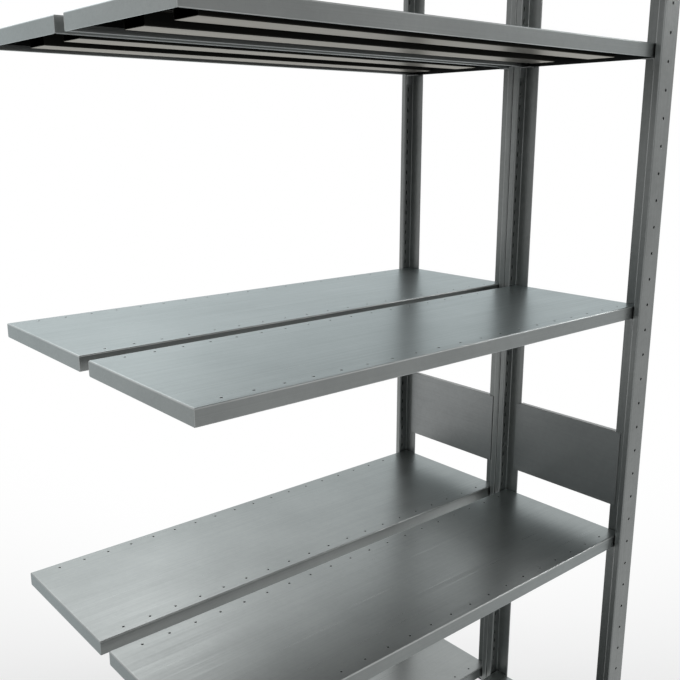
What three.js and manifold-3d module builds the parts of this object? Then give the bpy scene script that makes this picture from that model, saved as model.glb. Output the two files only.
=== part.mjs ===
// Double-sided steel library shelving: one add-on bay, five levels of shelves on each side.
// The bay has a frame of T-section posts at its right end only.
// The left ends of the shelves hang on the frame of the bay next to it.
// Millimetres, +Z up. X runs along the shelves, -Y is the front, the origin is on the floor.
import * as THREE from "three";
import { mergeVertices } from "three/addons/utils/BufferGeometryUtils.js";
import Module from "manifold-3d";

const wasm = await Module();
wasm.setup();

const FRAME_HEIGHT = 2000; // floor to the top of the post caps
const FRAME_DEPTH = 332; // outer face of the outer post to the middle of the unit
const CLEARANCE = 0.3; // air between pieces that touch

const SHELF_LENGTH = 1000;
const SHELF_DEPTH = 300;
const SHELF_HEIGHT = 25; // height of the folded edge
const SHELF_SHEET = 1.2;
const SHELF_BEND = 2.4; // outer radius of the folded edge
const SHELF_HEM = 10; // the front and back edges are folded flat up inside by this much
const SHELF_LEVELS = 5;
const LOWEST_SHELF_TOP = 55;
const SHELF_SPACING = 484;

const RIB_LENGTH = 880;
const RIB_OFFSET = 66; // rib centre line to the middle of the shelf
const RIB_WIDTH = 58;
const RIB_FOOT = 12; // flat flange on each side, welded to the shelf
const RIB_DEPTH = 23.5;

const FLANGE_WIDTH = 51;
const FLANGE_DEPTH = 14.2;
const POST_DEPTH = 44.5; // flange face to the free edge of the web
const POST_SHEET = 1.5;
const POST_BEND = 3; // outer radius of the flange corners
const ROOT_BEND = 1.5; // radius where the web meets the flange
const WEB_THICKNESS = 3.4; // two sheets folded face to face
const WEB_GAP = 0.5; // shelf end to the web
const SEAM_WIDTH = 0.8; // groove between the two sheets at the free edge
const SEAM_DEPTH = 2;

const HOLE_PITCH = 50;
const HOLE_DIAMETER = 6;
const HOLE_FACETS = 6;
const FIRST_HOLE = 25;
const SLOT_PITCH = 48.4; // ten slots to one shelf spacing
const SLOT_WIDTH = 3.8;
const SLOT_HEIGHT = 10;
const SLOT_BELOW_SHELF = 8; // slot centre under the foot of the shelf edge
const SLOT_OFFSET = 16.5; // slot centre to the middle of the post

const CLIP_SHEET = 1.5;
const CLIP_WIDTH = 14;
const CLIP_TAB = 26; // how far the tab reaches under the shelf
const CLIP_LEG = 21;
const CLIP_BEND = 2.5;
const HOOK_WIDTH = 3;
const HOOK_HEIGHT = 4.4;
const HOOK_DROP = 4; // how far the hook reaches down behind the sheet

const PLATE_HEIGHT = 162;
const PLATE_SHEET = 1.2;
const PLATE_LAP = 11; // overlap on each web
const PLATE_FOLD = 9; // folded edge along the top and bottom
const LOWER_PLATE_FOOT = 593;
const UPPER_PLATE_FOOT = 1756;

const FOOT_THICKNESS = 4;
const CAP_THICKNESS = 3;
const PLUG_LENGTH = 8;
const PLUG_FIT = 0.4; // air around the plug inside the flange

const WEB_LEFT = WEB_GAP; // left face of the web, measured from the shelf's right end
const POST_CENTRE = WEB_GAP + WEB_THICKNESS / 2;
const UNIT_LENGTH = SHELF_LENGTH + POST_CENTRE + FLANGE_WIDTH / 2;
const SHELF_RIGHT = SHELF_LENGTH - UNIT_LENGTH / 2; // X of the shelves' right ends
const INNER_FACE = CLEARANCE; // Y of the inner post's flange face
const SHELF_FROM_FACE = (FRAME_DEPTH - INNER_FACE - SHELF_DEPTH) / 2;

const galvanised = { color: 0xa9adab, roughness: 0.32, metalness: 0.9 };
const darkPlastic = { color: 0x2b2d2e, roughness: 0.6, metalness: 0 };

function mesh(name, geometry, finish) {
  const made = new THREE.Mesh(geometry, new THREE.MeshStandardMaterial(finish));
  made.name = name;
  return made;
}

function solid(geometry) {
  const bare = geometry.clone();
  bare.deleteAttribute("normal");
  bare.deleteAttribute("uv");
  const merged = mergeVertices(bare, 1e-4);
  return new wasm.Manifold(
    new wasm.Mesh({
      numProp: 3,
      vertProperties: merged.attributes.position.array,
      triVerts: new Uint32Array(merged.index.array),
    }),
  );
}

function geometryOf(body) {
  const made = body.getMesh();
  const geometry = new THREE.BufferGeometry();
  const points = new THREE.BufferAttribute(made.vertProperties, made.numProp);
  geometry.setAttribute("position", points);
  geometry.setIndex(new THREE.BufferAttribute(made.triVerts, 1));
  return geometry;
}

function join(bodies) {
  return bodies.reduce((whole, body) => whole.add(body));
}

function block(from, to) {
  const low = new THREE.Vector3(...from);
  const high = new THREE.Vector3(...to);
  const size = high.clone().sub(low);
  const middle = low.add(high).multiplyScalar(0.5);
  return solid(new THREE.BoxGeometry(...size).translate(...middle));
}

// A closed outline of [x, y, radius] corners; a corner with a radius is rounded in a few facets.
function outline(corners, facets = 3) {
  const points = [];
  corners.forEach(([x, y, radius = 0], i) => {
    const here = new THREE.Vector2(x, y);
    if (!radius) {
      points.push(here);
      return;
    }
    const [bx, by] = corners[(i + corners.length - 1) % corners.length];
    const [ax, ay] = corners[(i + 1) % corners.length];
    const back = new THREE.Vector2(bx, by).sub(here).normalize();
    const ahead = new THREE.Vector2(ax, ay).sub(here).normalize();
    const half = Math.acos(back.dot(ahead)) / 2;
    const tangent = radius / Math.tan(half);
    const inward = back.clone().add(ahead).normalize();
    const centre = inward.multiplyScalar(radius / Math.sin(half)).add(here);
    const start = back.multiplyScalar(tangent).add(here).sub(centre);
    const end = ahead.multiplyScalar(tangent).add(here).sub(centre);
    const from = start.angle();
    let turn = end.angle() - from;
    if (turn > Math.PI) turn -= 2 * Math.PI;
    if (turn < -Math.PI) turn += 2 * Math.PI;
    for (let step = 0; step <= facets; step++) {
      const angle = from + (turn * step) / facets;
      const spoke = new THREE.Vector2(Math.cos(angle), Math.sin(angle));
      points.push(spoke.multiplyScalar(radius).add(centre));
    }
  });
  return points;
}

function extrude(shape, length) {
  return new THREE.ExtrudeGeometry(shape, { depth: length, bevelEnabled: false });
}

// Profile drawn in Y and Z, drawn out along X from `from`.
function alongX(points, from, length) {
  const geometry = extrude(new THREE.Shape(points), length);
  geometry.applyMatrix4(new THREE.Matrix4().set(0, 0, 1, from, 1, 0, 0, 0, 0, 1, 0, 0, 0, 0, 0, 1));
  return solid(geometry);
}

// Profile drawn in X and Z, drawn out along Y from `from`.
function alongY(points, from, length) {
  const geometry = extrude(new THREE.Shape(points), length);
  geometry.rotateX(Math.PI / 2).translate(0, from + length, 0);
  return solid(geometry);
}

// Shelf in its own frame: right end at X 0, front edge at Y 0, top at Z 0.
// A tray folded down on all four sides, its front and back edges hemmed,
// with two hat-section ribs welded under the top.
function shelfBody() {
  const arch = (span, inset, bend, foot) =>
    outline([
      [inset, foot],
      [span - inset, foot],
      [span - inset, -inset, bend],
      [inset, -inset, bend],
    ]);
  const innerBend = SHELF_BEND - SHELF_SHEET;
  const across = (inset, bend, foot) =>
    alongX(arch(SHELF_DEPTH, inset, bend, foot), -SHELF_LENGTH, SHELF_LENGTH);
  const lengthwise = (inset, bend, foot) =>
    alongY(arch(SHELF_LENGTH, inset, bend, foot), 0, SHELF_DEPTH).translate([-SHELF_LENGTH, 0, 0]);
  const outer = across(0, SHELF_BEND, -SHELF_HEIGHT)
    .intersect(lengthwise(0, SHELF_BEND, -SHELF_HEIGHT));
  const below = -SHELF_HEIGHT - SHELF_SHEET;
  const inner = across(SHELF_SHEET, innerBend, below)
    .intersect(lengthwise(SHELF_SHEET, innerBend, below));

  const sunk = SHELF_SHEET / 2; // how far a hem runs into the walls it closes on
  const hem = (near, far) =>
    block(
      [-SHELF_LENGTH + sunk, near, -SHELF_HEIGHT],
      [-sunk, far, -SHELF_HEIGHT + SHELF_HEM],
    );
  const hems = [
    hem(sunk, 2 * SHELF_SHEET),
    hem(SHELF_DEPTH - 2 * SHELF_SHEET, SHELF_DEPTH - sunk),
  ];
  const ribs = [-RIB_OFFSET, RIB_OFFSET].map((offset) => ribBody(SHELF_DEPTH / 2 + offset));
  return join([outer.subtract(inner), ...hems, ...ribs]);
}

function ribBody(centre) {
  const sheet = SHELF_SHEET;
  const top = -sheet / 2; // sunk into the shelf's sheet, as welded
  const wall = RIB_WIDTH / 2;
  const foot = wall + RIB_FOOT;
  const low = -RIB_DEPTH;
  const points = [
    [-foot, top],
    [-foot, -2 * sheet],
    [-wall, -2 * sheet],
    [-wall, low],
    [wall, low],
    [wall, -2 * sheet],
    [foot, -2 * sheet],
    [foot, top],
    [wall - sheet, top],
    [wall - sheet, low + sheet],
    [-wall + sheet, low + sheet],
    [-wall + sheet, top],
  ].map(([y, z]) => new THREE.Vector2(centre + y, z));
  return alongX(points, -(SHELF_LENGTH + RIB_LENGTH) / 2, RIB_LENGTH);
}

// Outline of the post seen from above: flange face at Y 0, web reaching towards +Y, X across.
function postCorners() {
  const side = FLANGE_WIDTH / 2;
  const web = WEB_THICKNESS / 2;
  return [
    [-side, 0, POST_BEND],
    [side, 0, POST_BEND],
    [side, FLANGE_DEPTH, POST_BEND],
    [web, FLANGE_DEPTH, ROOT_BEND],
    [web, POST_DEPTH],
    [SEAM_WIDTH / 2, POST_DEPTH],
    [0, POST_DEPTH - SEAM_DEPTH],
    [-SEAM_WIDTH / 2, POST_DEPTH],
    [-web, POST_DEPTH],
    [-web, FLANGE_DEPTH, ROOT_BEND],
    [-side, FLANGE_DEPTH, POST_BEND],
  ];
}

// Inside of the hollow flange, drawn in from its wall by `inset`.
function flangeRoom(inset) {
  const side = FLANGE_WIDTH / 2 - inset;
  const bend = POST_BEND - POST_SHEET;
  return outline(
    [
      [-side, inset, bend],
      [side, inset, bend],
      [side, FLANGE_DEPTH - inset, bend],
      [-side, FLANGE_DEPTH - inset, bend],
    ],
    2,
  );
}

// Post standing on Z 0: a hollow flange with a row of holes in its face and, behind,
// a row of hook slots on each side of the web.
function postBody(length, floorToPost) {
  const shape = new THREE.Shape(outline(postCorners()));
  shape.holes.push(new THREE.Path(flangeRoom(POST_SHEET)));
  const profile = solid(extrude(shape, length));
  const cuts = [];
  const holes = Math.floor((FRAME_HEIGHT - 2 * FIRST_HOLE) / HOLE_PITCH) + 1;
  for (let i = 0; i < holes; i++) {
    const radius = HOLE_DIAMETER / 2;
    const drill = new THREE.CylinderGeometry(radius, radius, 2 * POST_SHEET, HOLE_FACETS);
    drill.rotateY(Math.PI / HOLE_FACETS);
    drill.translate(0, POST_SHEET / 2, FIRST_HOLE + i * HOLE_PITCH - floorToPost);
    cuts.push(solid(drill));
  }
  const firstSlot = LOWEST_SHELF_TOP - SHELF_HEIGHT - SLOT_BELOW_SHELF - floorToPost;
  const slots = ((SHELF_LEVELS - 1) * SHELF_SPACING) / SLOT_PITCH + 1;
  for (let i = 0; i < slots; i++) {
    const middle = firstSlot + i * SLOT_PITCH;
    for (const across of [-SLOT_OFFSET, SLOT_OFFSET]) {
      cuts.push(
        block(
          [across - SLOT_WIDTH / 2, FLANGE_DEPTH - 2 * POST_SHEET, middle - SLOT_HEIGHT / 2],
          [across + SLOT_WIDTH / 2, FLANGE_DEPTH + POST_SHEET, middle + SLOT_HEIGHT / 2],
        ),
      );
    }
  }
  return profile.subtract(join(cuts));
}

// Moulded end piece: a T-shaped plate on Z 0 with a plug that enters the hollow flange.
function endPiece(thickness) {
  const plate = solid(extrude(new THREE.Shape(outline(postCorners())), thickness));
  const plug = solid(
    extrude(new THREE.Shape(flangeRoom(POST_SHEET + PLUG_FIT)), thickness + PLUG_LENGTH),
  );
  return plate.add(plug);
}

// Shelf clip: back of the flange at X 0, middle of its width at Y 0, foot of the shelf edge at Z 0.
// A leg lies on the flange, a tab turns in under the shelf, a hook passes through the slot.
function clipBody() {
  const face = -CLEARANCE;
  const back = face - CLIP_SHEET;
  const top = -CLEARANCE;
  const under = top - CLIP_SHEET;
  const bend = outline(
    [
      [face, top, CLIP_BEND],
      [back - CLIP_TAB, top],
      [back - CLIP_TAB, under],
      [back, under, CLIP_BEND - CLIP_SHEET],
      [back, top - CLIP_LEG],
      [face, top - CLIP_LEG],
    ],
    2,
  );
  const angle = alongY(bend, -CLIP_WIDTH / 2, CLIP_WIDTH);
  const seat = -SLOT_BELOW_SHELF - SLOT_HEIGHT / 2 + CLEARANCE; // on the slot's lower edge
  const behind = POST_SHEET + CLEARANCE;
  const hook = outline([
    [back + CLIP_SHEET / 2, seat],
    [behind, seat],
    [behind, seat - HOOK_DROP],
    [behind + CLIP_SHEET, seat - HOOK_DROP],
    [behind + CLIP_SHEET, seat + HOOK_HEIGHT],
    [back + CLIP_SHEET / 2, seat + HOOK_HEIGHT],
  ]);
  return angle.add(alongY(hook, -HOOK_WIDTH / 2, HOOK_WIDTH));
}

// Tie plate: web's left face at X 0, foot at Z 0, from one web to the other along Y.
function plateBody(webToWeb) {
  const face = -CLEARANCE;
  const sheet = block(
    [face - PLATE_SHEET, -PLATE_LAP, 0],
    [face, webToWeb + PLATE_LAP, PLATE_HEIGHT],
  );
  const fold = (foot) =>
    block(
      [face - PLATE_SHEET / 2, CLEARANCE, foot],
      [face + PLATE_FOLD, webToWeb - CLEARANCE, foot + PLATE_SHEET],
    );
  return join([sheet, fold(0), fold(PLATE_HEIGHT - PLATE_SHEET)]);
}

const shelf = geometryOf(shelfBody());
const postFoot = FOOT_THICKNESS + CLEARANCE;
const postTop = FRAME_HEIGHT - CAP_THICKNESS - CLEARANCE;
const post = geometryOf(postBody(postTop - postFoot, postFoot));
const foot = geometryOf(endPiece(FOOT_THICKNESS));
const cap = geometryOf(endPiece(CAP_THICKNESS).rotate([180, 0, 0]).mirror([0, 1, 0]));
const clip = geometryOf(clipBody());
const webToWeb = FRAME_DEPTH - INNER_FACE - 2 * POST_DEPTH;
const plate = geometryOf(plateBody(webToWeb));

const unit = new THREE.Group();
unit.name = "double_sided_library_shelving";

// One post with its foot and cap, its flange facing front (turned 0) or back (turned half round).
function addPost(side, name, faceY, turned) {
  const stand = new THREE.Group();
  stand.position.set(SHELF_RIGHT + POST_CENTRE, faceY, 0);
  stand.rotation.z = turned ? Math.PI : 0;
  const upright = mesh(`post_${name}`, post, galvanised);
  upright.position.z = postFoot;
  const lid = mesh(`cap_${name}`, cap, darkPlastic);
  lid.position.z = FRAME_HEIGHT;
  stand.add(mesh(`foot_${name}`, foot, darkPlastic), upright, lid);
  side.add(stand);
}

// The front side as it stands; the back side is the same frame and shelves seen in a mirror
// across the middle of the unit, so its pieces are placed at the opposite Y.
for (const [sideName, sign] of [["front", -1], ["back", 1]]) {
  const side = new THREE.Group();
  side.name = `${sideName}_side`;
  addPost(side, `${sideName}_outer`, sign * FRAME_DEPTH, sign > 0);
  addPost(side, `${sideName}_inner`, sign * INNER_FACE, sign < 0);

  const nearWeb = sign < 0 ? -FRAME_DEPTH + POST_DEPTH : INNER_FACE + POST_DEPTH;
  for (const [level, height] of [["lower", LOWER_PLATE_FOOT], ["upper", UPPER_PLATE_FOOT]]) {
    const tie = mesh(`tie_plate_${sideName}_${level}`, plate, galvanised);
    tie.position.set(SHELF_RIGHT + WEB_LEFT, nearWeb, height);
    side.add(tie);
  }

  const shelfFront = sign < 0 ? -FRAME_DEPTH + SHELF_FROM_FACE : INNER_FACE + SHELF_FROM_FACE;
  for (let level = 0; level < SHELF_LEVELS; level++) {
    const top = LOWEST_SHELF_TOP + level * SHELF_SPACING;
    const board = mesh(`shelf_${sideName}_${level + 1}`, shelf, galvanised);
    board.position.set(SHELF_RIGHT, shelfFront, top);
    side.add(board);
    const seats = [
      ["outer", sign * (FRAME_DEPTH - FLANGE_DEPTH), -sign],
      ["inner", sign * (INNER_FACE + FLANGE_DEPTH), sign],
    ];
    for (const [postName, flangeBack, facing] of seats) {
      const hanger = mesh(`clip_${sideName}_${postName}_${level + 1}`, clip, galvanised);
      const slotX = SHELF_RIGHT + POST_CENTRE - SLOT_OFFSET;
      hanger.position.set(slotX, flangeBack, top - SHELF_HEIGHT);
      hanger.rotation.z = (-facing * Math.PI) / 2;
      side.add(hanger);
    }
  }
  unit.add(side);
}

export default unit;
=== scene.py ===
import math

import bpy
import numpy as np
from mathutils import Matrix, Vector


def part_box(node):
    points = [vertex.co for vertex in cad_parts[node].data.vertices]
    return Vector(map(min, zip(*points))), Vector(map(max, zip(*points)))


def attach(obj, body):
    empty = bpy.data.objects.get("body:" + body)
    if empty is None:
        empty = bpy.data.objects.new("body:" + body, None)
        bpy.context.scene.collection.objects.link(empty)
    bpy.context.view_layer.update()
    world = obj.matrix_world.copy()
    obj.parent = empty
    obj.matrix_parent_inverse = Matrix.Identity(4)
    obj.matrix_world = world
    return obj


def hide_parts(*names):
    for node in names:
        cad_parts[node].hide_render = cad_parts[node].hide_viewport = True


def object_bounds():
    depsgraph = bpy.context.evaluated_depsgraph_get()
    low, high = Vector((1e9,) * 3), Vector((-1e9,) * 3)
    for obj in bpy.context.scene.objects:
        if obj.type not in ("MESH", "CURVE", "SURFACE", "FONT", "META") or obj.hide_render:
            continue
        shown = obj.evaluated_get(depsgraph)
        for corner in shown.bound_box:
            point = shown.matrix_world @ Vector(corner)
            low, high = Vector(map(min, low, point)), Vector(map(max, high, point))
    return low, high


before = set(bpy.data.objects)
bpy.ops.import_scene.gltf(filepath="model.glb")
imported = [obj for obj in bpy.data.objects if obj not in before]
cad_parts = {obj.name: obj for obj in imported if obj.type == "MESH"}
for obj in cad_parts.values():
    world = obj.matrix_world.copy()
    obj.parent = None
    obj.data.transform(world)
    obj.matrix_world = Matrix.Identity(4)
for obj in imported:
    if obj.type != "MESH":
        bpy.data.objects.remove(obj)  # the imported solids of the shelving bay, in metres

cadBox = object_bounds()
scene = bpy.context.scene
millimetres = 1000.0  # in a metre: the shapes below are worked out in millimetres


# Lowest and highest corner of a node's solid, in millimetres.
def cornersOf(node):
    return [millimetres * np.array(corner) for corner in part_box(node)]


# Path of a folded sheet's outer face: straight runs between corners, and an arc of the given
# radius at each corner, tangent to both runs. The outer side is to the right of the way it runs.
# marks gives extra lines on a run, as distances from that run's first corner.
def foldedPath(corners, radii, marks=None, steps=6):
    corners = np.array(corners, float)
    legs = np.diff(corners, axis=0)
    lengths = np.hypot(legs[:, 0], legs[:, 1])
    heads = legs / lengths[:, None]
    sides = np.stack([heads[:, 1], -heads[:, 0]], 1)
    cross = heads[:-1, 0] * heads[1:, 1] - heads[:-1, 1] * heads[1:, 0]
    turns = np.arctan2(cross, (heads[:-1] * heads[1:]).sum(1))
    trim = np.concatenate([[0], np.array(radii) * np.tan(np.abs(turns) / 2), [0]])
    points, outward, bent = [], [], []
    for k in range(len(legs)):
        stops = np.array([trim[k], *(marks or {}).get(k, []), lengths[k] - trim[k + 1]])
        points.append(corners[k] + heads[k] * stops[:, None])
        outward.append(np.repeat(sides[k][None], len(stops), 0))
        bent.append(np.zeros(len(stops)))
        if k == len(legs) - 1:
            break
        angle = np.linspace(0, turns[k], steps + 1)[1:-1, None]
        swung = np.cos(angle) * sides[k] + np.sin(angle) * np.array([-sides[k][1], sides[k][0]])
        reach = np.sign(turns[k]) * radii[k]
        points.append(points[-1][-1] - reach * sides[k] + reach * swung)
        outward.append(swung)
        bent.append(np.ones(len(angle)))
    points, outward, bent = np.concatenate(points), np.concatenate(outward), np.concatenate(bent)
    along = np.concatenate([[0], np.cumsum(np.hypot(*np.diff(points, axis=0).T))])
    return {"along": along, "points": points, "outward": outward, "bent": bent}


# Point and outer normal at distance s along a path, at a depth under its outer face.
def onPath(path, s, depth):
    at = [np.interp(s, path["along"], path["points"][:, k]) for k in (0, 1)]
    out = [np.interp(s, path["along"], path["outward"][:, k]) for k in (0, 1)]
    size = np.hypot(*out)
    out = [o / size for o in out]
    return [a - depth * o for a, o in zip(at, out)], out


# Quads of a grid of point numbers, for the cells where keep is true.
def gridQuads(index, keep):
    quads = np.stack([index[:-1, :-1], index[1:, :-1], index[1:, 1:], index[:-1, 1:]], -1)
    return quads[keep]


# Punched holes: each takes the place of the four cells round a grid point. A ring of cells runs
# from the eight grid points round it to the hole's edge, whose points are centre + outline.
def punch(index, keep, rows, columns, outline):
    around = np.array([(1, 0), (1, 1), (0, 1), (-1, 1), (-1, 0), (-1, -1), (0, -1), (1, -1)])
    rows, columns = [g.ravel() for g in np.meshgrid(rows, columns, indexing="ij")]
    for di in (-1, 0):
        for dj in (-1, 0):
            keep[rows + di, columns + dj] = False
    ring = index[rows[:, None] + around[:, 0], columns[:, None] + around[:, 1]]
    share = len(outline) // 8
    edge = np.arange(len(rows))[:, None] * len(outline) + np.arange(len(outline))
    cells = []
    for k in range(8):
        inner = [edge[:, (share * (k + 1) - n) % len(outline)] for n in range(share + 1)]
        cells.append(np.stack([ring[:, k], ring[:, (k + 1) % 8], *inner], 1))
    return index[rows, columns], np.concatenate(cells)


# Several rows of holes punched into one blank, with the points of their edges added to it.
def punchAll(flat, index, keep, rowsOfHoles):
    tables = []
    for rows, columns, hole in rowsOfHoles:
        spots, rings = punch(index, keep, rows, columns, hole)
        rings[:, 2:] += len(flat)
        tables.append(rings)
        edge = np.zeros((len(spots) * len(hole), flat.shape[1]))
        edge[:, :2] = (flat[spots][:, None, :2] + hole).reshape(-1, 2)
        flat = np.concatenate([flat, edge])
    return flat, tables


cutEdge = {"sharpest": 0.6, "nudge": 0.05}


# Closed sheet body from a flat blank. The skins are place(blank, depth) at depth 0 and gauge.
# Along every free edge a quarter round of radius rim runs from each skin to the cut face:
# shift = rim (sin a - 1), depth = rim (1 - cos a), for a from 0 to 90 degrees. A corner shifts along
# the sum of its two edges' normals, scaled so that both edges move by the shift; sharpest limits
# that scale, and a nudge of a fraction of a millimetre finds which way an edge faces in space.
# The last argument is painted shade on the inner skin, a darker colour laid where it lies out of the
# light: 1 in a hollow, 0 where it is open.
def sheetBody(flat, tables, bent, place, gauge, rim, steps=3, innerPaintedShade=0):
    used, order = np.unique(np.concatenate([t.ravel() for t in tables]), return_inverse=True)
    cuts = np.cumsum([t.size for t in tables])[:-1]
    tables = [o.reshape(t.shape) for o, t in zip(np.split(order, cuts), tables)]
    flat, bent = flat[used], bent[used]
    count = len(flat)
    starts = np.concatenate([t.ravel() for t in tables])
    ends = np.concatenate([np.roll(t, -1, axis=1).ravel() for t in tables])
    free = ~np.isin(starts * count + ends, ends * count + starts)
    starts, ends = starts[free], ends[free]
    run = flat[ends, :2] - flat[starts, :2]
    run /= np.hypot(run[:, 0], run[:, 1])[:, None]
    out = np.stack([run[:, 1], -run[:, 0]], 1)
    lean = np.zeros((count, 2))
    np.add.at(lean, starts, out)
    np.add.at(lean, ends, out)
    rimPoints = np.unique(starts)
    lean[rimPoints] *= 2 / (lean[rimPoints] ** 2).sum(1)[:, None].clip(cutEdge["sharpest"])
    widened = np.zeros_like(flat)
    widened[:, :2] = lean
    points, normals = place(flat - rim * widened, 0)
    inner, innerNormals = place(flat - rim * widened, gauge)
    angle = np.linspace(0, math.pi / 2, steps + 1)[1:]
    shift, depth = rim * (np.sin(angle) - 1), rim * (1 - np.cos(angle))
    shifts = np.concatenate([shift, shift[::-1]])
    depths = np.concatenate([depth, gauge - depth[::-1]])
    tilts = np.concatenate([np.cos(angle), -np.cos(angle[::-1])])
    edgeFlat, edgeLean = flat[rimPoints], widened[rimPoints]
    rows, rowNormals = [], []
    for s, d, tilt in zip(shifts, depths, tilts):
        at, up = place(edgeFlat + s * edgeLean, d)
        ahead, _ = place(edgeFlat + (s + cutEdge["nudge"]) * edgeLean, d)
        sideways = ahead - at
        sideways /= np.linalg.norm(sideways, axis=1)[:, None]
        rows.append(at)
        rowNormals.append(tilt * up + math.sqrt(1 - tilt * tilt) * sideways)
    slot = np.zeros(count, int)
    slot[rimPoints] = np.arange(len(rimPoints))
    rowStart = [2 * count + r * len(rimPoints) for r in range(len(rows))]
    first = [starts] + [r + slot[starts] for r in rowStart] + [count + starts]
    last = [ends] + [r + slot[ends] for r in rowStart] + [count + ends]
    rimQuads = [np.stack([last[r], first[r], first[r + 1], last[r + 1]], 1)
                for r in range(len(rows) + 1)]
    body = {
        "points": np.concatenate([points, inner, *rows]),
        "normals": np.concatenate([normals, -innerNormals, *rowNormals]),
        "tables": [*tables, *[t[:, ::-1] + count for t in tables], *rimQuads],
        # rubbed wear on bends and cut rims, and on the shelves a painted highlight along the folds
        "wear_and_glint": np.concatenate([bent, bent, np.ones(len(rows) * len(rimPoints))]),
        # painted shade: the inner skin takes its material's darker colour as if out of the light
        "painted_shade": np.repeat([0, innerPaintedShade, 0], [count, count, len(rows) * len(rimPoints)]),
    }
    corner = body["points"][rimQuads[0]]
    facing = np.cross(corner[:, 2] - corner[:, 0], corner[:, 3] - corner[:, 1])
    if (facing * body["normals"][rimQuads[0][:, 0]]).sum() < 0:
        body["tables"] = [t[:, ::-1] for t in body["tables"]]
    return body


# Flat plate of any outline: one face for the whole blank, placed by a function of (u, v, depth).
def plateBody(outline, place, thickness, rim):
    flat = np.array(outline, float)
    face = np.arange(len(flat))[None]
    return sheetBody(flat, [face], np.zeros(len(flat)), place, thickness, rim)


# Several bodies as one, their point numbers running on from each other.
def joined(bodies):
    offsets = np.cumsum([0] + [len(b["points"]) for b in bodies[:-1]])
    return {
        "points": np.concatenate([b["points"] for b in bodies]),
        "normals": np.concatenate([b["normals"] for b in bodies]),
        "wear_and_glint": np.concatenate([b["wear_and_glint"] for b in bodies]),
        "painted_shade": np.concatenate([b["painted_shade"] for b in bodies]),
        "tables": [t + o for b, o in zip(bodies, offsets) for t in b["tables"]],
    }


# The same body set down at a place, after a number of quarter turns about the vertical.
def placed(body, offset, quarters=0):
    spin = np.eye(3)
    for _ in range(quarters):
        spin = spin @ np.array([[0, -1, 0], [1, 0, 0], [0, 0, 1]])
    points = body["points"] @ spin.T + np.array(offset, float)
    return {**body, "points": points, "normals": body["normals"] @ spin.T}


# A body as a Blender object, with its own normals and its two marks (rubbed wear with a painted
# highlight on folds, and painted shade), riding on a CAD body.
def addPiece(name, body, material, slotName, rider, *nodes):
    mesh = bpy.data.meshes.new(name)
    corners = np.concatenate([t.ravel() for t in body["tables"]])
    sizes = np.concatenate([np.full(len(t), t.shape[1]) for t in body["tables"]])
    mesh.vertices.add(len(body["points"]))
    mesh.vertices.foreach_set("co", (body["points"] / millimetres).astype(np.float32).ravel())
    mesh.loops.add(len(corners))
    mesh.loops.foreach_set("vertex_index", corners.astype(np.int32))
    mesh.polygons.add(len(sizes))
    mesh.polygons.foreach_set("loop_start", (np.cumsum(sizes) - sizes).astype(np.int32))
    mesh.polygons.foreach_set("use_smooth", np.ones(len(sizes), bool))
    mesh.update(calc_edges=True)
    for mark in ("wear_and_glint", "painted_shade"):
        values = mesh.attributes.new(mark, "FLOAT", "POINT")
        values.data.foreach_set("value", body[mark].astype(np.float32))
    mesh.normals_split_custom_set_from_vertices(body["normals"].astype(np.float32))
    mesh.materials.append(material)
    piece = bpy.data.objects.new(name, mesh)
    scene.collection.objects.link(piece)
    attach(piece, rider)
    if nodes:
        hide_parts(*nodes)


# An sRGB hex colour as linear red, green, blue and a full alpha.
def linear(hexColour):
    parts = np.array([int(hexColour[k:k + 2], 16) for k in (0, 2, 4)]) / 255
    parts = np.where(parts <= 0.04045, parts / 12.92, ((parts + 0.055) / 1.055) ** 2.4)
    return (*parts.tolist(), 1.0)


# One node with its settings; an input is a value or the output that feeds it.
def addNode(tree, kind, settings=None, inputs=None):
    node = tree.nodes.new(kind)
    for key, value in (settings or {}).items():
        setattr(node, key, value)
    for key, value in (inputs or {}).items():
        if isinstance(value, bpy.types.NodeSocket):
            tree.links.new(value, node.inputs[key])
        else:
            node.inputs[key].default_value = value
    return node


# How often a pattern of a given size in millimetres repeats in a metre.
def perMetre(size):
    return millimetres / size


# Grit and relief in millimetres; the spans are the reach of the noise that tone and gloss follow.
zinc = {"grit": 0.7, "relief": 0.2, "toneSpan": 0.42, "sheenSpan": 0.25}
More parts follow.
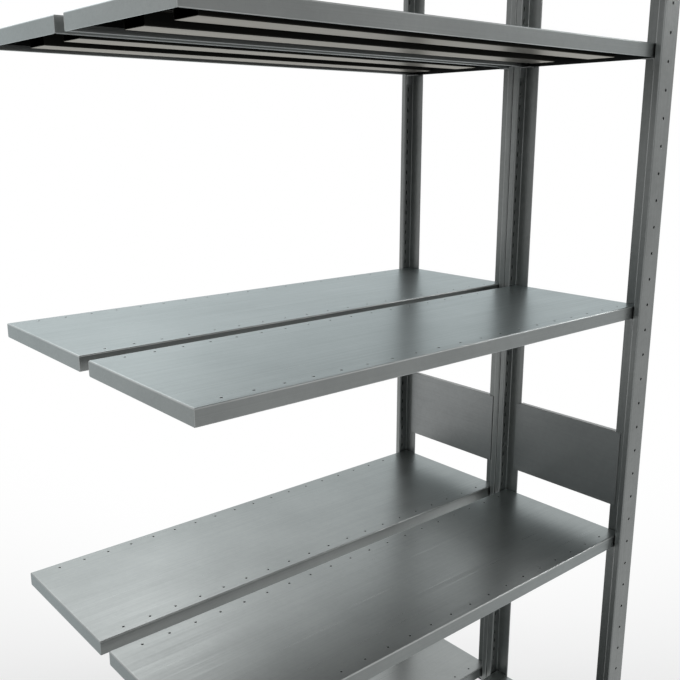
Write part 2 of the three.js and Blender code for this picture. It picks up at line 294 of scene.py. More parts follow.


# Zinc coated sheet steel, cold rolled and then hot dipped: a satin grey metal with a faint
# patchwork of zinc grains, drawn lines along the rolling direction, and folds rubbed brighter,
# which on the shelves is also a painted highlight along the folds; insides carry painted shade.
# Grains are about 7 mm; the drawn lines are really 0.2 mm wide and are drawn 2 to 3 mm wide to show.
# dull and bright are the two ends of its tone, edge the rubbed folds with a painted highlight on
# them, then the colour of painted shade on the inside out of the light, and glance the cast that it
# takes at a low angle. The drawn lines carry the gloss.
def zincSheet(name, look):
    material = bpy.data.materials.new(name)
    material.use_nodes = True
    tree = material.node_tree
    tree.nodes.clear()
    where = addNode(tree, "ShaderNodeTexCoord").outputs["Object"]
    drawn = addNode(tree, "ShaderNodeMapping", {}, {
        "Vector": where, "Scale": [perMetre(size) for size in look["lines"]]})
    lines = addNode(tree, "ShaderNodeTexNoise", {}, {
        "Vector": drawn.outputs[0], "Scale": 1.0, "Detail": 4.0, "Roughness": 0.65})
    clouds = addNode(tree, "ShaderNodeTexNoise", {}, {
        "Vector": where, "Scale": perMetre(look["clouds"]), "Detail": 3.0, "Roughness": 0.55})
    grains = addNode(tree, "ShaderNodeTexVoronoi", {}, {
        "Vector": where, "Scale": perMetre(look["grains"])})
    grain = addNode(tree, "ShaderNodeSeparateColor", {}, {"Color": grains.outputs["Color"]})
    speck = addNode(tree, "ShaderNodeTexNoise", {}, {
        "Vector": where, "Scale": perMetre(zinc["grit"]), "Detail": 2.0})
    wear_and_glint = addNode(tree, "ShaderNodeAttribute", {"attribute_name": "wear_and_glint"})

    streaky = addNode(tree, "ShaderNodeMath", {"operation": "MULTIPLY_ADD"}, {
        0: lines.outputs["Fac"], 1: look["lineShare"], 2: clouds.outputs["Fac"]})
    mixed = addNode(tree, "ShaderNodeMath", {"operation": "MULTIPLY_ADD"}, {
        0: grain.outputs["Red"], 1: look["grainShare"], 2: streaky.outputs[0]})
    middle = 0.5 + 0.5 * look["lineShare"] + 0.5 * look["grainShare"]
    tone = addNode(tree, "ShaderNodeMapRange", {}, {
        "Value": mixed.outputs[0],
        "From Min": middle - zinc["toneSpan"], "From Max": middle + zinc["toneSpan"]})
    toned = addNode(tree, "ShaderNodeMix", {"data_type": "RGBA"}, {
        0: tone.outputs[0], 6: linear(look["dull"]), 7: linear(look["bright"])})
    # rubbed wear on folds and rims, and on the shelves a painted highlight along the folds
    rubbedAndGlint = addNode(tree, "ShaderNodeMath", {"operation": "MULTIPLY"}, {
        0: wear_and_glint.outputs["Fac"], 1: clouds.outputs["Fac"]})
    edged = addNode(tree, "ShaderNodeMix", {"data_type": "RGBA"}, {
        0: rubbedAndGlint.outputs[0], 6: toned.outputs[2], 7: linear(look["edge"])})
    # painted shade: where the mask is set, the base colour turns to the dark inside colour
    hollow = addNode(tree, "ShaderNodeAttribute", {"attribute_name": "painted_shade"})
    coated = addNode(tree, "ShaderNodeMix", {"data_type": "RGBA"}, {
        0: hollow.outputs["Fac"], 6: edged.outputs[2], 7: linear(look["hollow"])})
    sheen = addNode(tree, "ShaderNodeMapRange", {}, {
        "Value": lines.outputs["Fac"],
        "From Min": 0.5 - zinc["sheenSpan"], "From Max": 0.5 + zinc["sheenSpan"],
        "To Min": look["roughest"], "To Max": look["smoothest"]})
    relief = addNode(tree, "ShaderNodeMath", {"operation": "MULTIPLY_ADD"}, {
        0: speck.outputs["Fac"], 1: look["speck"], 2: lines.outputs["Fac"]})
    bump = addNode(tree, "ShaderNodeBump", {}, {
        "Height": relief.outputs[0], "Strength": look["bump"],
        "Distance": zinc["relief"] / millimetres})
    steel = addNode(tree, "ShaderNodeBsdfPrincipled", {}, {
        "Base Color": coated.outputs[2], "Metallic": 1.0, "Roughness": sheen.outputs[0],
        "Specular Tint": linear(look["glance"]), "Normal": bump.outputs[0]})
    addNode(tree, "ShaderNodeOutputMaterial", {}, {"Surface": steel.outputs[0]})
    return material


# In these looks the darkest colour is painted shade on insides out of the light, and the shelf's
# bright edge colour is rubbed wear and a painted highlight on its folds.
shelfLook = {
    "lines": (330.0, 2.4, 2.4), "clouds": 140.0, "grains": 7.0,
    "lineShare": 0.5, "grainShare": 0.12,
    "dull": "8B8E8D", "bright": "9B9E9D", "edge": "D2D5D4", "hollow": "343635", "glance": "F1FCFF",
    "roughest": 0.4, "smoothest": 0.26, "speck": 0.2, "bump": 0.12
}
postLook = {
    "lines": (2.6, 2.6, 330.0), "clouds": 110.0, "grains": 7.5,
    "lineShare": 0.5, "grainShare": 0.2,
    "dull": "7F8281", "bright": "8F9291", "edge": "959897", "hollow": "505250", "glance": "FFFFFF",
    "roughest": 0.44, "smoothest": 0.32, "speck": 0.35, "bump": 0.2
}
plateLook = {
    "lines": (2.6, 330.0, 2.6), "clouds": 125.0, "grains": 7.5,
    "lineShare": 0.35, "grainShare": 0.18,
    "dull": "8A8D8D", "bright": "9A9D9D", "edge": "ADB0AE", "hollow": "8A8D8D", "glance": "FFFFFF",
    "roughest": 0.48, "smoothest": 0.36, "speck": 0.3, "bump": 0.15
}
ribLook = {
    "lines": (330.0, 2.6, 2.6), "clouds": 140.0, "grains": 7.5,
    "lineShare": 0.5, "grainShare": 0.15,
    "dull": "7C7B78", "bright": "888784", "edge": "8E8D8A", "hollow": "2A2A28", "glance": "F4F3EC",
    "roughest": 0.46, "smoothest": 0.36, "speck": 0.3, "bump": 0.15
}
rolledShelfZinc = zincSheet("zinc_coated_steel_bright_rolled", shelfLook)
rolledPostZinc = zincSheet("zinc_coated_steel_roll_formed", postLook)
foldedPlateZinc = zincSheet("zinc_coated_steel_folded", plateLook)
dullRibZinc = zincSheet("zinc_coated_steel_dull_rolled", ribLook)


# Polypropylene, injection moulded in a spark-eroded tool: dark, matt, with a fine grain of
# about 0.5 mm and corners rubbed a little paler.
def mouldedPlastic(name, look):
    material = bpy.data.materials.new(name)
    material.use_nodes = True
    tree = material.node_tree
    tree.nodes.clear()
    where = addNode(tree, "ShaderNodeTexCoord").outputs["Object"]
    grain = addNode(tree, "ShaderNodeTexNoise", {}, {
        "Vector": where, "Scale": perMetre(look["grain"]), "Detail": 3.0, "Roughness": 0.6})
    blotch = addNode(tree, "ShaderNodeTexNoise", {}, {
        "Vector": where, "Scale": perMetre(look["blotch"]), "Detail": 2.0})
    wear_and_glint = addNode(tree, "ShaderNodeAttribute", {"attribute_name": "wear_and_glint"})
    colour = addNode(tree, "ShaderNodeMix", {"data_type": "RGBA"}, {
        0: blotch.outputs["Fac"], 6: linear(look["dark"]), 7: linear(look["pale"])})
    rubbedAndGlint = addNode(tree, "ShaderNodeMath", {"operation": "MULTIPLY"}, {
        0: wear_and_glint.outputs["Fac"], 1: blotch.outputs["Fac"]})
    edged = addNode(tree, "ShaderNodeMix", {"data_type": "RGBA"}, {
        0: rubbedAndGlint.outputs[0], 6: colour.outputs[2], 7: linear(look["edge"])})
    sheen = addNode(tree, "ShaderNodeMapRange", {}, {
        "Value": blotch.outputs["Fac"], "To Min": look["roughest"], "To Max": look["smoothest"]})
    bump = addNode(tree, "ShaderNodeBump", {}, {
        "Height": grain.outputs["Fac"], "Strength": look["bump"],
        "Distance": look["relief"] / millimetres})
    plastic = addNode(tree, "ShaderNodeBsdfPrincipled", {}, {
        "Base Color": edged.outputs[2], "Roughness": sheen.outputs[0], "IOR": 1.49,
        "Normal": bump.outputs[0]})
    addNode(tree, "ShaderNodeOutputMaterial", {}, {"Surface": plastic.outputs[0]})
    return material


plasticLook = {
    "grain": 0.5, "blotch": 16.0, "dark": "222426", "pale": "313436", "edge": "4A4E50",
    "roughest": 0.62, "smoothest": 0.48, "bump": 0.35, "relief": 0.2
}
darkPlastic = mouldedPlastic("polypropylene_moulded", plasticLook)
print("materials made:", len(bpy.data.materials))


shelf = {
    "length": 1000.0, "depth": 300.0, "height": 25.0, "gauge": 1.2, "bend": 2.4,
    "hem": 10.0, "hemGap": 0.2, "hemBend": 1.25, "rim": 0.25, "seam": 0.2,
    "bendSteps": 6, "holePitch": 50.0, "holeRadius": 2.2, "holeInset": 17.5, "holeRoom": 5.5,
    "holeSides": 16, "collar": 4.5, "collarStep": 0.05, "collarWall": 0.7,
    "ribLength": 880.0, "ribOffset": 66.0, "ribWidth": 58.0, "ribFoot": 12.0, "ribDepth": 23.5,
    "ribBend": 1.6, "ribSteps": 4, "ribLines": 9, "crownTilt": 0.95,
}


# Points round a circle: radius (cos a, sin a).
def circle(radius, count):
    angle = np.arange(count) * 2 * math.pi / count
    return np.stack([radius * np.cos(angle), radius * np.sin(angle)], 1)


# Tray folded from one blank. Across it: hem, foot, lip, main bend, top and back again.
# Along it: end lip, main bend, top. The blank is a cross; at each corner the long lip runs to
# the end of the shelf, and the end lip stops a seam's width behind it.
def shelfTray(p):
    half, span, drop = p["depth"] / 2, p["length"] / 2, p["height"]
    inset, room = p["holeInset"], p["holeRoom"]
    band = [inset - room, inset, inset + room]
    marks = {3: band + [p["depth"] - d for d in band[::-1]]}
    hemmed = half - 2 * p["gauge"] - p["hemGap"]
    near = [(hemmed, p["hem"] - drop), (hemmed, -drop), (half, -drop), (half, 0)]
    radii = [p["hemBend"], p["hemBend"], p["bend"], p["bend"], p["hemBend"], p["hemBend"]]
    path = foldedPath(near + [(-y, z) for y, z in near[::-1]], radii, marks, p["bendSteps"])
    bend = p["bend"]
    flatSpan = span - bend
    arc = np.linspace(0, bend * math.pi / 2, p["bendSteps"] + 1)[1:]
    lipFoot = arc[-1] + drop - bend
    centres = np.arange(-span + p["holePitch"], span - p["holePitch"] / 2, p["holePitch"])
    middle = (centres[:, None] + np.array([-room, 0, room])).ravel()
    wing = flatSpan + np.concatenate([[0], arc, [lipFoot]])
    t = np.concatenate([-wing[::-1], middle, wing])
    s = path["along"]
    top = np.isclose(path["points"][:, 1], 0, atol=1e-6)
    topRows = np.flatnonzero(top)
    firstTop, lastTop = topRows[0], topRows[-1]
    firstFlat, lastFlat = len(wing) - 1, len(t) - len(wing)
    across, lengthwise = np.meshgrid(s, t, indexing="ij")
    facing = np.clip(path["outward"][:, 0] * np.sign(path["points"][:, 0]), 0, 1)
    wide = flatSpan + bend * facing
    flap = ~top
    lengthwise[flap, firstFlat], lengthwise[flap, lastFlat] = -wide[flap], wide[flap]
    ending = np.zeros(across.shape)
    ending[:, :firstFlat] = 1
    ending[:, lastFlat + 1:] = 1
    lean = np.sin(np.clip((np.abs(t) - flatSpan) / bend, 0, math.pi / 2))
    reach = (bend - p["gauge"] - p["seam"]) * lean
    beyond = ending[0] > 0
    across[firstTop, beyond] -= reach[beyond]
    across[lastTop, beyond] += reach[beyond]
    index = np.arange(across.size).reshape(across.shape)
    keep = np.zeros((len(s) - 1, len(t) - 1), bool)
    keep[firstTop:lastTop, :] = True
    keep[:, firstFlat:lastFlat] = True
    # each hole is punched at the middle of three lines and three columns
    holeRows = [firstTop + 2, lastTop - 2]
    holeColumns = firstFlat + 2 + 3 * np.arange(len(centres))
    flat = np.stack([across.ravel(), lengthwise.ravel(), ending.ravel()], 1)
    hole = circle(p["holeRadius"], p["holeSides"])
    flat, rings = punchAll(flat, index, keep, [(holeRows, holeColumns, hole)])
    insideBend = (np.abs(t) > wing[0]) & (np.abs(t) < wing[-2])
    endBent = insideBend * ending
    bent = np.zeros(len(flat))
    bent[:across.size] = np.maximum(path["bent"][:, None] * np.ones(len(t)), endBent).ravel()
    centreLine = s[firstTop] + half - bend

    def place(blank, depth):
        (y, z), (ny, nz) = onPath(path, blank[:, 0], depth)
        side, far = np.sign(blank[:, 1]), np.abs(blank[:, 1])
        swing = np.clip((far - flatSpan) / bend, 0, math.pi / 2)
        below = np.maximum(far - flatSpan - bend * math.pi / 2, 0)
        end = blank[:, 2] > 0.5
        endNormal = np.stack([side * np.sin(swing), 0 * swing, np.cos(swing)], 1)
        endPoint = np.stack([side * flatSpan, centreLine - blank[:, 0], -bend - below], 1)
        endPoint = endPoint + (bend - depth) * endNormal
        point = np.stack([blank[:, 1], y, z], 1)
        normal = np.stack([0 * y, ny, nz], 1)
        return np.where(end[:, None], endPoint, point), np.where(end[:, None], endNormal, normal)

    tables = [gridQuads(index, keep), *rings]
    # the inner skin, the shelf's underside, carries painted shade
    return sheetBody(flat, tables, bent, place, p["gauge"], p["rim"], steps=2, innerPaintedShade=1)


# A path drawn straight out: rows along the path, columns at the distances t, and limits where the
# ends of the rows differ. axes turns (u, v, t) into (x, y, z).
def strip(path, t, gauge, rim, axes, limits=None):
    across, lengthwise = np.meshgrid(path["along"], t, indexing="ij")
    if limits is not None:
        lengthwise[:, 0], lengthwise[:, -1] = limits
    index = np.arange(across.size).reshape(across.shape)
    keep = np.ones((across.shape[0] - 1, across.shape[1] - 1), bool)
    bent = np.repeat(path["bent"][:, None], len(t), 1).ravel()

    def place(blank, depth):
        (u, v), (nu, nv) = onPath(path, blank[:, 0], depth)
        zero = 0 * u
        point = np.stack(axes(u, v, blank[:, 1]), 1)
        origin = np.stack(axes(zero, zero, zero), 1)
        return point, np.stack(axes(nu, nv, zero), 1) - origin

    flat = np.stack([across.ravel(), lengthwise.ravel()], 1)
    return sheetBody(flat, [gridQuads(index, keep)], bent, place, gauge, rim)


# Hat-section rib: foot, wall, crown, wall, foot, drawn straight along X under the top. Only the
# outside of its crown, which faces down, lies open to the light; the rest carries painted shade.
def shelfRib(p, middle):
    wall, floor = p["ribWidth"] / 2, -p["ribDepth"]
    foot = -2 * p["gauge"] - p["seam"] / 2
    half = [(-wall - p["ribFoot"], foot), (-wall, foot), (-wall, floor)]
    path = foldedPath(half + [(-y, z) for y, z in half[::-1]], [p["ribBend"]] * 4,
                      steps=p["ribSteps"])
    t = np.linspace(-p["ribLength"] / 2, p["ribLength"] / 2, p["ribLines"])
    rib = strip(path, t, p["gauge"], p["rim"], lambda y, z, t: (t, middle + y, z))
    crown = rib["normals"][:, 2] < -p["crownTilt"]
    return {**rib, "wear_and_glint": np.zeros(len(crown)), "painted_shade": np.where(crown, 0, 1)}


# Drawn collars under the divider holes: a small square section turned round each hole's axis,
# point = centre + radius (cos a, sin a), the section's corners pushed out along their diagonals.
def holeCollars(p):
    reach = p["length"] / 2 - p["holePitch"]
    alongX = np.arange(-reach, reach + p["holePitch"] / 2, p["holePitch"])
    edge = p["depth"] / 2 - p["holeInset"]
    centres = np.stack([g.ravel() for g in np.meshgrid(alongX, [-edge, edge], indexing="ij")], 1)
    inner = p["holeRadius"] + p["collarStep"]
    outer = inner + p["collarWall"]
    high, low = -p["gauge"] + p["rim"], -p["collar"]
    section = np.array([(inner, high), (inner, low), (outer, low), (outer, high)])
    diagonal = np.array([(-1, 1), (-1, -1), (1, -1), (1, 1)]) * math.sqrt(0.5)
    spoke = circle(1.0, p["holeSides"])
    turned = np.zeros((len(centres), len(spoke), len(section), 3))
    turned[..., :2] = centres[:, None, None] + spoke[:, None] * section[:, :1]
    turned[..., 2] = section[:, 1]
    normals = np.zeros(turned.shape)
    normals[..., :2] = spoke[:, None] * diagonal[:, :1]
    normals[..., 2] = diagonal[:, 1]
    index = np.arange(turned[..., 0].size).reshape(turned.shape[:3])
    ahead, after = np.roll(index, -1, axis=1), np.roll(index, -1, axis=2)
    both = np.roll(ahead, -1, axis=2)
    quads = np.stack([index, ahead, both, after], -1).reshape(-1, 4)
    # the collars carry painted shade all over
    return {"points": turned.reshape(-1, 3), "normals": normals.reshape(-1, 3),
            "wear_and_glint": np.zeros(index.size), "painted_shade": np.ones(index.size), "tables": [quads]}


ribs = [shelfRib(shelf, offset) for offset in (-shelf["ribOffset"], shelf["ribOffset"])]
shelfBody = joined([shelfTray(shelf), holeCollars(shelf)])
ribBody = joined(ribs)
for side in ("front", "back"):
    for level in range(1, 6):
        node = f"shelf_{side}_{level}"
        low, high = cornersOf(node)
        at = [(low[0] + high[0]) / 2, (low[1] + high[1]) / 2, high[2]]
        addPiece(f"folded_{node}", placed(shelfBody, at), rolledShelfZinc,
                 "galvanised_steel_shelf", node, node)
        addPiece(f"welded_ribs_{node}", placed(ribBody, at), dullRibZinc,
                 "galvanised_steel_shelf", node)
print("shelves folded:", len(shelfBody["points"]), "points each")


post = {
    "flange": 51.0, "flangeDepth": 14.2, "depth": 44.5, "web": 3.4, "gauge": 1.5, "bend": 3.0,
    "root": 1.5, "rim": 0.3, "bendSteps": 5, "holePitch": 50.0, "firstHole": 25.0, "holes": 40,
    "holeRadius": 2.8, "holeRoom": 5.5, "holeSides": 16, "slotPitch": 24.2, "firstSlot": 22.0,
    "slots": 81, "slotOffset": 16.5, "slotWidth": 3.8, "slotHeight": 10.0, "slotRoom": 6.5,
    "slotMargin": 4.0,
}


# Corners of the T: down the left of the web, round the hollow flange, up the right of the web.
def postCorners(p):
    side, web = p["flange"] / 2, p["web"] / 2
    left = [(-web, p["depth"]), (-web, p["flangeDepth"]), (-side, p["flangeDepth"]), (-side, 0)]
    return left + [(-x, y) for x, y in left[::-1]]


# Bend radii at the inner corners of the T, with the roots of the web first and last.
def postRadii(p):
    return [p["root"], p["bend"], p["bend"], p["bend"], p["bend"], p["root"]]


# Lines along the post: three to each hole, then the widest gap is halved until the count is made up.
def postLines(centres, room, foot, top, count):
    lines = np.sort(np.concatenate([[foot, top], (centres[:, None] + [-room, 0, room]).ravel()]))
    while len(lines) < count:
        widest = int(np.argmax(np.diff(lines)))
        lines = np.insert(lines, widest + 1, lines[widest:widest + 2].mean())
    return lines, np.searchsorted(lines, centres)


# One strip rolled into a T: web, root, flange, corner, side, corner, face and back again.
# Lines behind the face follow the hook slots, lines of the face follow the round holes.
def rolledPost(p, foot, top):
    inward = p["slotOffset"] - p["web"] / 2
    run = (p["flange"] - p["web"]) / 2
    face = p["flange"] / 2
    slotMarks = [inward - p["slotMargin"], inward, inward + p["slotMargin"]]
    marks = {1: slotMarks, 3: [face - p["holeRoom"], face, face + p["holeRoom"]],
             5: [run - d for d in slotMarks[::-1]]}
    path = foldedPath(postCorners(p), postRadii(p), marks, p["bendSteps"])
    slotCentres = p["firstSlot"] + p["slotPitch"] * np.arange(p["slots"])
    holeCentres = p["firstHole"] + p["holePitch"] * np.arange(p["holes"])
    count = 3 * p["slots"] + 2  # three lines to each slot, and the two ends
    slotLines, slotColumns = postLines(slotCentres, p["slotRoom"], foot, top, count)
    faceLines, holeColumns = postLines(holeCentres, p["holeRoom"], foot, top, count)
    across, upward = np.meshgrid(path["along"], slotLines, indexing="ij")
    upward[path["points"][:, 1] < p["flangeDepth"] / 2] = faceLines
    index = np.arange(across.size).reshape(across.shape)
    keep = np.ones((across.shape[0] - 1, across.shape[1] - 1), bool)
    flat = np.stack([across.ravel(), upward.ravel()], 1)

    # line of the path that lies nearest to a point of the section
    def rowAt(x, y):
        return int(np.argmin(np.hypot(path["points"][:, 0] - x, path["points"][:, 1] - y)))

    slotRows = [rowAt(-p["slotOffset"], p["flangeDepth"]), rowAt(p["slotOffset"], p["flangeDepth"])]
    hole = circle(p["holeRadius"], p["holeSides"])
    slotHole = circle(p["slotWidth"] / 2, p["holeSides"])
    half = np.sign(np.round(slotHole[:, 1], 6))  # upper or lower half of the slot, or its middle line
    slotHole[:, 1] += half * (p["slotHeight"] - p["slotWidth"]) / 2
    flat, tables = punchAll(flat, index, keep, [
        ([rowAt(0, 0)], holeColumns, hole), (slotRows, slotColumns, slotHole)])
    bent = np.zeros(len(flat))
    bent[:across.size] = np.repeat(path["bent"][:, None], across.shape[1], 1).ravel()

    def place(blank, depth):
        (x, y), (nx, ny) = onPath(path, blank[:, 0], depth)
        return np.stack([x, y, blank[:, 1]], 1), np.stack([nx, ny, 0 * nx], 1)

    tables = [gridQuads(index, keep), *tables]
    # the inside of the post carries painted shade
    return sheetBody(flat, tables, bent, place, p["gauge"], p["rim"], steps=2, innerPaintedShade=1)


feet = {"thickness": 4.0, "cap": 3.0, "plug": 8.0, "plugFit": 0.4, "rim": 0.8}


# Moulded end piece: a T-shaped plate with rounded edges, and the plug that enters the flange,
# upwards from a foot on the floor and downwards from a cap.
def endPiece(p, thickness, low):
    outline = foldedPath(postCorners(p), postRadii(p))
    wall = p["gauge"] + feet["plugFit"]
    side, back = p["flange"] / 2 - wall, p["flangeDepth"] - wall
    room = [(-side, wall), (side, wall), (side, back), (-side, back)]
    plugLow = low + thickness if low == 0 else low - feet["plug"]

    def level(top):
        def place(blank, depth):
            up = np.zeros((len(blank), 3))
            up[:, 2] = 1
            return np.column_stack([blank[:, :2], np.full(len(blank), top - depth)]), up
        return place

    plate = plateBody(outline["points"], level(low + thickness), thickness, feet["rim"])
    plug = plateBody(room, level(plugLow + feet["plug"]), feet["plug"], feet["rim"])
    return joined([plate, plug])


postLow, postHigh = cornersOf("post_front_outer")
postBody = rolledPost(post, postLow[2], postHigh[2])
unitTop = millimetres * cadBox[1].z
footBody = endPiece(post, feet["thickness"], 0)
capBody = endPiece(post, feet["cap"], unitTop - feet["cap"])
for side in ("front", "back"):
    for row in ("outer", "inner"):
        name = f"{side}_{row}"
        low, high = cornersOf(f"post_{name}")
        turned = 2 if name in ("front_inner", "back_outer") else 0
        at = [(low[0] + high[0]) / 2, high[1] if turned else low[1], 0]
        addPiece(f"rolled_post_{name}", placed(postBody, at, turned), rolledPostZinc,
                 "galvanised_steel", "frame", f"post_{name}")
        addPiece(f"moulded_foot_{name}", placed(footBody, at, turned), darkPlastic,
                 "moulded_plastic", "frame", f"foot_{name}")
        addPiece(f"moulded_cap_{name}", placed(capBody, at, turned), darkPlastic,
                 "moulded_plastic", "frame", f"cap_{name}")
print("posts rolled:", len(postBody["points"]), "points each")


clip = {
    "gauge": 1.5, "width": 14.0, "tab": 26.0, "leg": 21.0, "bend": 2.5, "rim": 0.3, "clear": 0.3,
    "round": 4.0, "roundSteps": 5, "roundEnd": 0.1,
    "hookWidth": 3.0, "hookHeight": 4.4, "hookDrop": 4.0, "hookSeat": -12.7, "hookSteps": 4,
    "hookRadii": (0.4, 0.6, 0.6, 1.2),
}


# Leg and tab bent from one strip, with the tab's corners rounded: half width = w - r + sqrt(r2 - d2),
# where d is how far a line lies within r of the tab's end. The hook is a flat plate behind the leg.
def hookClip(p, sheet):
    face = -p["clear"]
    reach = face - p["gauge"] - p["tab"]
    length = face - reach
    corner = p["round"] * (1 - np.cos(np.linspace(0, math.pi / 2, p["roundSteps"] + 1)))
    marks = {1: [length - d for d in corner[:0:-1]]}
    path = foldedPath([(face, face - p["leg"]), (face, face), (reach, face)], [p["bend"]], marks)
    near = np.clip(p["round"] - (path["points"][:, 0] - reach), 0, None)
    rounded = np.clip(p["round"] ** 2 - near ** 2, p["roundEnd"] ** 2, None)
    half = p["width"] / 2 - p["round"] + np.sqrt(rounded)
    angle = strip(path, np.linspace(-1, 1, 3), p["gauge"], p["rim"], lambda x, z, t: (x, t, z),
                  (-half, half))
    back, behind = face - p["gauge"] / 2, sheet + p["clear"]
    far = behind + p["gauge"]
    seat = p["hookSeat"]
    tip, top = seat - p["hookDrop"], seat + p["hookHeight"]
    corners = [(back, seat), (behind, seat), (behind, tip), (far, tip), (far, top), (back, top)]
    hook = foldedPath(corners, p["hookRadii"], steps=p["hookSteps"])

    def place(blank, depth):
        sideways = np.zeros((len(blank), 3))
        sideways[:, 1] = -1
        y = np.full(len(blank), -p["hookWidth"] / 2 + depth)
        return np.stack([blank[:, 0], y, blank[:, 1]], 1), sideways

    return joined([angle, plateBody(hook["points"], place, p["hookWidth"], p["rim"])])


clipBody = hookClip(clip, post["gauge"])
hookReach = post["gauge"] + clip["clear"] + clip["gauge"]
for side in ("front", "back"):
    for row in ("outer", "inner"):
        towardsBack = f"{side}_{row}" in ("front_outer", "back_inner")
        for level in range(1, 6):
            node = f"clip_{side}_{row}_{level}"
            low, high = cornersOf(node)
            flangeBack = low[1] + hookReach if towardsBack else high[1] - hookReach
            at = [(low[0] + high[0]) / 2, flangeBack, high[2] + clip["clear"]]
            body = placed(clipBody, at, 3 if towardsBack else 1)
            addPiece(f"hook_{node}", body, foldedPlateZinc, "galvanised_steel", "frame", node)
print("clips bent:", len(clipBody["points"]), "points each")


tie = {
    "gauge": 1.2, "height": 162.0, "lap": 11.0, "fold": 9.0, "bend": 2.2, "rim": 0.3, "clear": 0.3,
    "foldRoom": 8.0, "faceTilt": 0.999, "lines": 8,
}


# Plate with its top and foot folded back between the webs; only the flat face laps the webs.
def tiePlate(p, between):
    face, left = -p["clear"], -p["clear"] - p["gauge"]
    reach = face + p["fold"]
    corners = [(reach, p["height"]), (left, p["height"]), (left, 0), (reach, 0)]
    path = foldedPath(corners, [p["bend"]] * 2, {1: [p["foldRoom"], p["height"] - p["foldRoom"]]})
    flatFace = path["outward"][:, 0] < -p["faceTilt"]
    inner = np.where(flatFace, -p["lap"], p["clear"])
    outer = np.where(flatFace, between + p["lap"], between - p["clear"])
    t = np.linspace(0, between, p["lines"])
    t[0], t[-1] = -p["lap"], between + p["lap"]
    return strip(path, t, p["gauge"], p["rim"], lambda x, z, t: (x, t, z), (inner, outer))


plateLow, plateHigh = cornersOf("tie_plate_front_lower")
webToWeb = plateHigh[1] - plateLow[1] - 2 * tie["lap"]
tieBody = tiePlate(tie, webToWeb)
for side in ("front", "back"):
    for row in ("lower", "upper"):
        node = f"tie_plate_{side}_{row}"
        low, _ = cornersOf(node)
        at = low + np.array([tie["clear"] + tie["gauge"], tie["lap"], 0])
        addPiece(f"folded_{node}", placed(tieBody, at), foldedPlateZinc,
                 "galvanised_steel", "frame", node)
print("tie plates folded:", len(tieBody["points"]), "points each")


# Camera of the photograph, fitted to the straight edges of the shelving.
view = {"place": (-1.02013, -1.18366, 1.34827), "tilt": 76.3981, "turn": -40.4169,
        "lens": 45.2108, "sensor": 36.0, "farthest": 200.0}
camera = bpy.data.objects.new("photo_camera", bpy.data.cameras.new("photo_camera"))
camera.data.sensor_width = view["sensor"]
camera.data.lens = view["lens"]
camera.data.clip_end = view["farthest"]
camera.location = view["place"]
camera.rotation_euler = (math.radians(view["tilt"]), 0, math.radians(view["turn"]))
scene.collection.objects.link(camera)
scene.camera = camera

studio = {"floorSize": 80.0, "floorColour": "E9EAEA", "below": 0.0004, "away": (0.648, 0.761, 0.0),
          "nearBy": 1.2, "fadeFrom": -0.5, "fadeTo": 0.75, "roomLight": 0.55, "behindCamera": 0.45}


# One for rays from the camera, off gloss and through glass; zero for soft light.
def shownRay(tree):
    ray = addNode(tree, "ShaderNodeLightPath")
    glossy = addNode(tree, "ShaderNodeMath", {"operation": "MAXIMUM"}, {
        0: ray.outputs["Is Camera Ray"], 1: ray.outputs["Is Glossy Ray"]})
    shown = addNode(tree, "ShaderNodeMath", {"operation": "MAXIMUM"}, {
        0: glossy.outputs[0], 1: ray.outputs["Is Transmission Ray"]})
    return shown.outputs[0]


# Smooth rise from the dim end of the studio to the white backdrop: ahead is how far a direction
# points away from the camera, from -1 to 1.
def backdropFade(tree, ahead, dim):
    fade = addNode(tree, "ShaderNodeMapRange", {"interpolation_type": "SMOOTHSTEP"}, {
        "Value": ahead, "From Min": studio["fadeFrom"], "From Max": studio["fadeTo"], "To Min": dim})
    return fade.outputs[0]


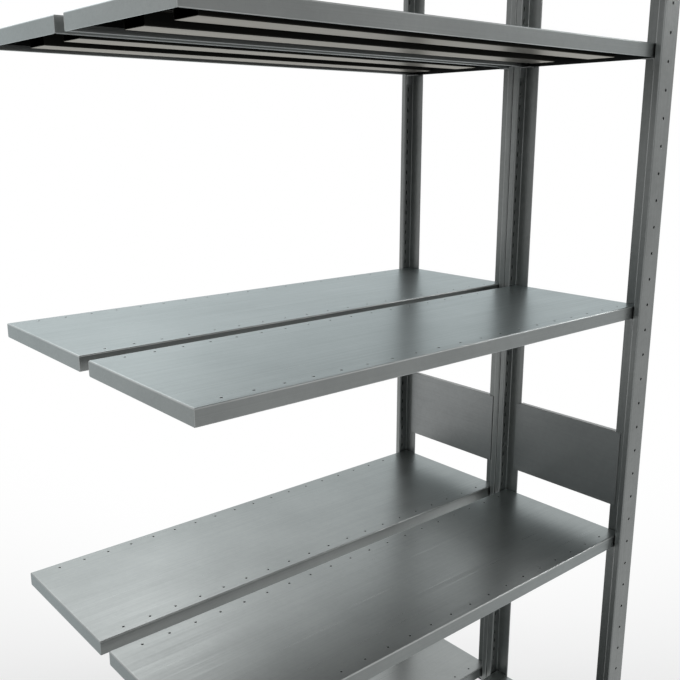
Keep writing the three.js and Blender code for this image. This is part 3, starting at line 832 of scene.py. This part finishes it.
# Pale matt floor. Its own glow, seen by the camera and in gloss and glass, follows the backdrop:
# ahead = (place . away) / sqrt(distance squared + nearBy squared), so that the far floor meets the
# backdrop without a line. The matt part keeps the shadow of the shelving.
def studioFloor(p):
    half = p["floorSize"] / 2
    corners = [(-half, -half), (half, -half), (half, half), (-half, half)]
    mesh = bpy.data.meshes.new("studio_floor")
    mesh.from_pydata([(x, y, -p["below"]) for x, y in corners], [], [(0, 1, 2, 3)])
    floor = bpy.data.objects.new("studio_floor", mesh)
    scene.collection.objects.link(floor)
    material = bpy.data.materials.new("painted_floor_matt")
    material.use_nodes = True
    tree = material.node_tree
    tree.nodes.clear()
    where = addNode(tree, "ShaderNodeTexCoord").outputs["Object"]
    away = addNode(tree, "ShaderNodeVectorMath", {"operation": "DOT_PRODUCT"}, {
        0: where, 1: p["away"]})
    square = addNode(tree, "ShaderNodeVectorMath", {"operation": "DOT_PRODUCT"}, {
        0: where, 1: where})
    spread = addNode(tree, "ShaderNodeMath", {"operation": "ADD"}, {
        0: square.outputs["Value"], 1: p["nearBy"] ** 2})
    reach = addNode(tree, "ShaderNodeMath", {"operation": "SQRT"}, {0: spread.outputs[0]})
    ahead = addNode(tree, "ShaderNodeMath", {"operation": "DIVIDE"}, {
        0: away.outputs["Value"], 1: reach.outputs[0]})
    seen = addNode(tree, "ShaderNodeMath", {"operation": "MULTIPLY"}, {
        0: backdropFade(tree, ahead.outputs[0], 0.0), 1: shownRay(tree)})
    matt = addNode(tree, "ShaderNodeBsdfDiffuse", {}, {"Color": linear(p["floorColour"])})
    white = addNode(tree, "ShaderNodeEmission", {}, {"Color": (1, 1, 1, 1), "Strength": 1.0})
    mixed = addNode(tree, "ShaderNodeMixShader", {}, {
        0: seen.outputs[0], 1: matt.outputs[0], 2: white.outputs[0]})
    addNode(tree, "ShaderNodeOutputMaterial", {}, {"Surface": mixed.outputs[0]})
    mesh.materials.append(material)


studioFloor(studio)

world = bpy.data.worlds.new("studio_room")
world.use_nodes = True
scene.world = world
roomTree = world.node_tree
roomTree.nodes.clear()
# The white backdrop behind the shelving shows to the camera and in the metal;
# the studio behind the camera shows in the metal as a softer grey.
heading = addNode(roomTree, "ShaderNodeTexCoord").outputs["Generated"]
ahead = addNode(roomTree, "ShaderNodeVectorMath", {"operation": "DOT_PRODUCT"}, {
    0: heading, 1: studio["away"]})
backdrop = backdropFade(roomTree, ahead.outputs["Value"], studio["behindCamera"])
level = addNode(roomTree, "ShaderNodeMapRange", {}, {
    "Value": shownRay(roomTree), "To Min": studio["roomLight"], "To Max": backdrop})
room = addNode(roomTree, "ShaderNodeBackground", {}, {
    "Color": (1, 1, 1, 1), "Strength": level.outputs[0]})
addNode(roomTree, "ShaderNodeOutputWorld", {}, {"Surface": room.outputs[0]})

# Two large soft lamps, and a small one that gives the glint on the front bends.
lamps = {
    "key": {"place": (-2.2, -3.4, 4.0), "aim": (0.0, 0.0, 0.9), "size": 2.4, "watts": 70.0},
    "top": {"place": (0.7, 3.7, 3.9), "aim": (0.0, 0.3, 0.8), "size": 2.6, "watts": 26.0},
    "side": {"place": (2.4, -0.8, 2.25), "aim": (0.33, -0.33, 0.53), "size": 0.5, "watts": 7.0},
}
for name, lamp in lamps.items():
    data = bpy.data.lights.new(f"{name}_lamp", "AREA")
    data.size, data.energy = lamp["size"], lamp["watts"]
    lampObject = bpy.data.objects.new(f"{name}_lamp", data)
    lampObject.location = lamp["place"]
    aim = np.array(lamp["aim"]) - np.array(lamp["place"])
    tilt = math.acos(-aim[2] / np.linalg.norm(aim))
    lampObject.rotation_euler = (tilt, 0, math.atan2(-aim[0], aim[1]))
    scene.collection.objects.link(lampObject)
scene.view_settings.view_transform = "Standard"
print("camera, floor and lamps set")
